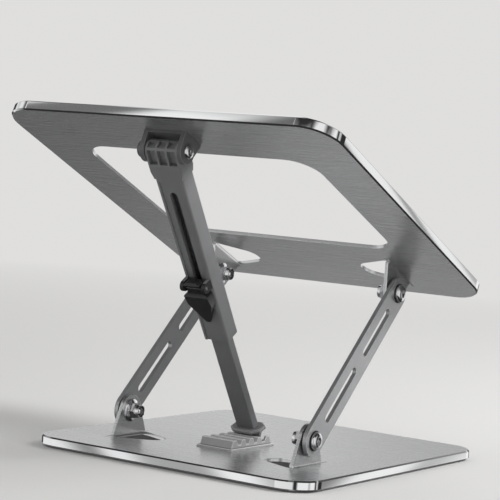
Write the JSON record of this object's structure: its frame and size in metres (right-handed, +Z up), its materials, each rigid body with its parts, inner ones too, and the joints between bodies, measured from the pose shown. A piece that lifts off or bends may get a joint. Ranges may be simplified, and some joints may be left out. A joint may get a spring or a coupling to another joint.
{
  "type": "projector stand",
  "caption": "Folding projector stand: sheet base, slotted side arms, tilted tray with a large window, and a telescoping strut whose foot sits in a notched rack.",
  "frame": {"origin": "on the floor, at the middle of the stand's outer box", "axes": "+X to the stand's right seen from its raised front, +Y to the back, +Z up"},
  "size_m": [0.254, 0.294, 0.2339],
  "materials": {
    "brushed_sheet": "satin brushed faces, polished edge",
    "arm_metal": "satin grey",
    "polished_steel": "polished",
    "washer_nylon": "matt",
    "strut_plastic": "fine moulded grain",
    "bracket_plastic": "fine moulded grain",
    "rack_plastic": "fine moulded grain",
    "latch_plastic": "satin",
    "pin_steel": "bright",
    "rubber": "matt"
  },
  "bodies": {
    "base": {"base_plate": "brushed_sheet", "rack": "rack_plastic", "left_front_foot": "rubber", "right_front_foot": "rubber", "left_back_foot": "rubber", "right_back_foot": "rubber", "left_lower_screw": "polished_steel", "left_lower_washer": "washer_nylon", "left_lower_nut": "polished_steel", "right_lower_screw": "polished_steel", "right_lower_washer": "washer_nylon", "right_lower_nut": "polished_steel"},
    "arms": {"left_arm": "arm_metal", "right_arm": "arm_metal"},
    "tray": {"tray_plate": "brushed_sheet", "clevis": "bracket_plastic", "clevis_screw": "polished_steel", "clevis_nut": "bracket_plastic", "left_front_pad": "rubber", "right_front_pad": "rubber", "left_back_pad": "rubber", "right_back_pad": "rubber", "left_upper_screw": "polished_steel", "left_upper_washer": "washer_nylon", "left_upper_nut": "polished_steel", "right_upper_screw": "polished_steel", "right_upper_washer": "washer_nylon", "right_upper_nut": "polished_steel"},
    "sleeve": {"sleeve": "strut_plastic", "latch_pin": "pin_steel"},
    "latch": {"latch": "latch_plastic"},
    "rod": {"rod": "strut_plastic", "foot": "rack_plastic"}
  },
  "joints": [
    {"name": "stand_fold", "type": "hinge", "parent": "base", "child": "arms", "pos_m": [0, -0.04455, 0.0247], "axis": [-1, 0, 0], "range_deg": [0, 43.2]},
    {"name": "tray_tilt", "type": "hinge", "parent": "arms", "child": "tray", "pos_m": [0, 0.05824, 0.12122], "axis": [1, 0, 0], "range_deg": [0, 66.61]},
    {"name": "strut_swing", "type": "hinge", "parent": "tray", "child": "sleeve", "pos_m": [0, -0.12838, 0.20742], "axis": [1, 0, 0], "range_deg": [0, 36.76]},
    {"name": "rod_slide", "type": "slide", "parent": "sleeve", "child": "rod", "axis": [0, -0.5571, 0.8305], "range_m": [0, 0.07351]},
    {"name": "latch_press", "type": "hinge", "parent": "sleeve", "child": "latch", "pos_m": [0, -0.08375, 0.11935], "axis": [-1, 0, 0], "range_deg": [0, 9], "stiffness_Nm_per_rad": 0.05}
  ],
  "couplings": [
    {"joint": "tray_tilt", "follows": "stand_fold", "ratio": 1.5417},
    {"joint": "strut_swing", "follows": "stand_fold", "ratio": 0.85059},
    {"joint": "rod_slide", "follows": "stand_fold", "m_per_rad": 0.097482}
  ]
}
